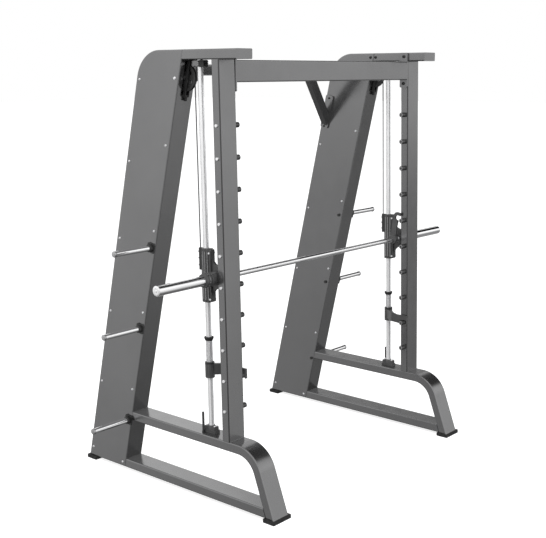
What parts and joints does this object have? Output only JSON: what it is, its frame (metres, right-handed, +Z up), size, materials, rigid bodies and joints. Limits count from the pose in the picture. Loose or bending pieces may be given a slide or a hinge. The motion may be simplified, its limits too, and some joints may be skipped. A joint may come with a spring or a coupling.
{
  "type": "smith machine",
  "caption": "Smith machine with a chrome bar on vertical guide rods between two leaning grey towers, rack pegs, bar hooks, safety stops, storage horns and hidden counterweights.",
  "frame": {"origin": "centre of the bounding box's base, on the floor", "axes": "+X along the bar to the user's right when facing the towers, +Y from the bar's open side to the towers, +Z up"},
  "size_m": [2.404, 1.394, 2.244],
  "materials": {
    "frame_paint": "satin grey powder coat",
    "rubber_black": "matt black rubber",
    "black_steel": "semi-matt black paint",
    "dark_casting": "satin dark grey paint on castings",
    "dark_steel": "dark satin steel",
    "bright_screws": "bright zinc plate",
    "chrome_bar": "hard chrome, satin polished",
    "bearing_steel": "ground steel",
    "pulley_black": "black nylon",
    "cable_coat": "black plastic-coated wire rope",
    "spring_steel": "bright spring steel",
    "weight_iron": "plain cast iron"
  },
  "bodies": {
    "frame": {"base_lower_rail_left": "frame_paint", "base_lower_rail_right": "frame_paint", "base_upper_rail_left": "frame_paint", "base_upper_rail_right": "frame_paint", "cable_left": "cable_coat", "cable_right": "cable_coat", "cover_screws": "bright_screws", "foot_pads": "rubber_black", "frame_bolts": "bright_screws", "front_crossbeam": "frame_paint", "guide_rod_left": "chrome_bar", "guide_rod_right": "chrome_bar", "horn_bases": "black_steel", "knee_braces": "frame_paint", "peg_bolts": "bright_screws", "pulley_brackets": "black_steel", "rack_pegs": "dark_steel", "rear_crossbeam": "frame_paint", "rod_mounts": "black_steel", "top_rail_left": "frame_paint", "top_rail_right": "frame_paint", "tower_crossbeam": "frame_paint", "tower_frame_left": "frame_paint", "tower_frame_right": "frame_paint", "tower_front_plate_left": "frame_paint", "tower_front_plate_right": "frame_paint", "tower_inner_cover_left": "frame_paint", "tower_inner_cover_right": "frame_paint", "tower_outer_cover_left": "frame_paint", "tower_outer_cover_right": "frame_paint", "tower_skin_left": "frame_paint", "tower_skin_right": "frame_paint", "upright_left": "frame_paint", "upright_right": "frame_paint", "weight_horns": "chrome_bar"},
    "carriage": {"carriage_housing_left": "dark_casting", "carriage_housing_right": "dark_casting", "carriage_bracket_left": "dark_casting", "carriage_bracket_right": "dark_casting", "linear_bearings": "bearing_steel", "bar_bearings": "bearing_steel", "cable_anchors": "black_steel", "carriage_bolts": "bright_screws"},
    "bar": {"bar_shaft": "chrome_bar", "bar_sleeve_left": "chrome_bar", "bar_sleeve_right": "chrome_bar", "bar_hook_left": "dark_casting", "bar_hook_right": "dark_casting"},
    "pulley_left": {"pulley_wheel_left": "pulley_black"},
    "weight_left": {"counterweight_left": "weight_iron"},
    "stop_seat_left": {"buffer_seat_left": "black_steel", "buffer_spring_left": "spring_steel"},
    "stop_arm_left": {"safety_stop_left": "dark_casting"},
    "bumper_left": {"bumper_left": "rubber_black"},
    "pulley_right": {"pulley_wheel_right": "pulley_black"},
    "weight_right": {"counterweight_right": "weight_iron"},
    "stop_seat_right": {"buffer_seat_right": "black_steel", "buffer_spring_right": "spring_steel"},
    "stop_arm_right": {"safety_stop_right": "dark_casting"},
    "bumper_right": {"bumper_right": "rubber_black"}
  },
  "joints": [
    {"name": "carriage_slide", "type": "slide", "parent": "frame", "child": "carriage", "axis": [0, 0.0227, 0.9997], "range_m": [-0.1544, 0.7], "deforming": ["cable_left", "cable_right"]},
    {"name": "bar_roll", "type": "hinge", "parent": "carriage", "child": "bar", "pos_m": [0, -0.294, 1.1543], "axis": [1, 0, 0], "range_deg": [-35, 16]},
    {"name": "pulley_spin_left", "type": "hinge", "parent": "frame", "child": "pulley_left", "pos_m": [-0.786, -0.092, 2.112], "axis": [1, 0, 0], "range_deg": [-692, 153.03]},
    {"name": "weight_slide_left", "type": "slide", "parent": "frame", "child": "weight_left", "axis": [0, -0.2241, 0.9746], "range_m": [-0.7, 0.1544]},
    {"name": "stop_lift_left", "type": "slide", "parent": "frame", "child": "stop_seat_left", "axis": [0, 0.0227, 0.9997], "range_m": [0, 0.02]},
    {"name": "stop_swing_left", "type": "hinge", "parent": "stop_seat_left", "child": "stop_arm_left", "pos_m": [-0.786, -0.236, 0], "axis": [0, 0.0227, 0.9997], "range_deg": [0, 70]},
    {"name": "bumper_press_left", "type": "slide", "parent": "stop_seat_left", "child": "bumper_left", "axis": [0, 0.0227, 0.9997], "range_m": [-0.03, 0], "stiffness_N_per_m": 20000, "deforming": ["buffer_spring_left"]},
    {"name": "pulley_spin_right", "type": "hinge", "parent": "frame", "child": "pulley_right", "pos_m": [0.786, -0.092, 2.112], "axis": [1, 0, 0], "range_deg": [-692, 153.03]},
    {"name": "weight_slide_right", "type": "slide", "parent": "frame", "child": "weight_right", "axis": [0, -0.2241, 0.9746], "range_m": [-0.7, 0.1544]},
    {"name": "stop_lift_right", "type": "slide", "parent": "frame", "child": "stop_seat_right", "axis": [0, 0.0227, 0.9997], "range_m": [0, 0.02]},
    {"name": "stop_swing_right", "type": "hinge", "parent": "stop_seat_right", "child": "stop_arm_right", "pos_m": [0.786, -0.236, 0], "axis": [0, -0.0227, -0.9997], "range_deg": [0, 70]},
    {"name": "bumper_press_right", "type": "slide", "parent": "stop_seat_right", "child": "bumper_right", "axis": [0, 0.0227, 0.9997], "range_m": [-0.03, 0], "stiffness_N_per_m": 20000, "deforming": ["buffer_spring_right"]}
  ],
  "couplings": [
    {"joint": "pulley_spin_left", "follows": "carriage_slide", "rad_per_m": -17.241},
    {"joint": "weight_slide_left", "follows": "carriage_slide", "ratio": -1},
    {"joint": "pulley_spin_right", "follows": "carriage_slide", "rad_per_m": -17.241},
    {"joint": "weight_slide_right", "follows": "carriage_slide", "ratio": -1}
  ]
}
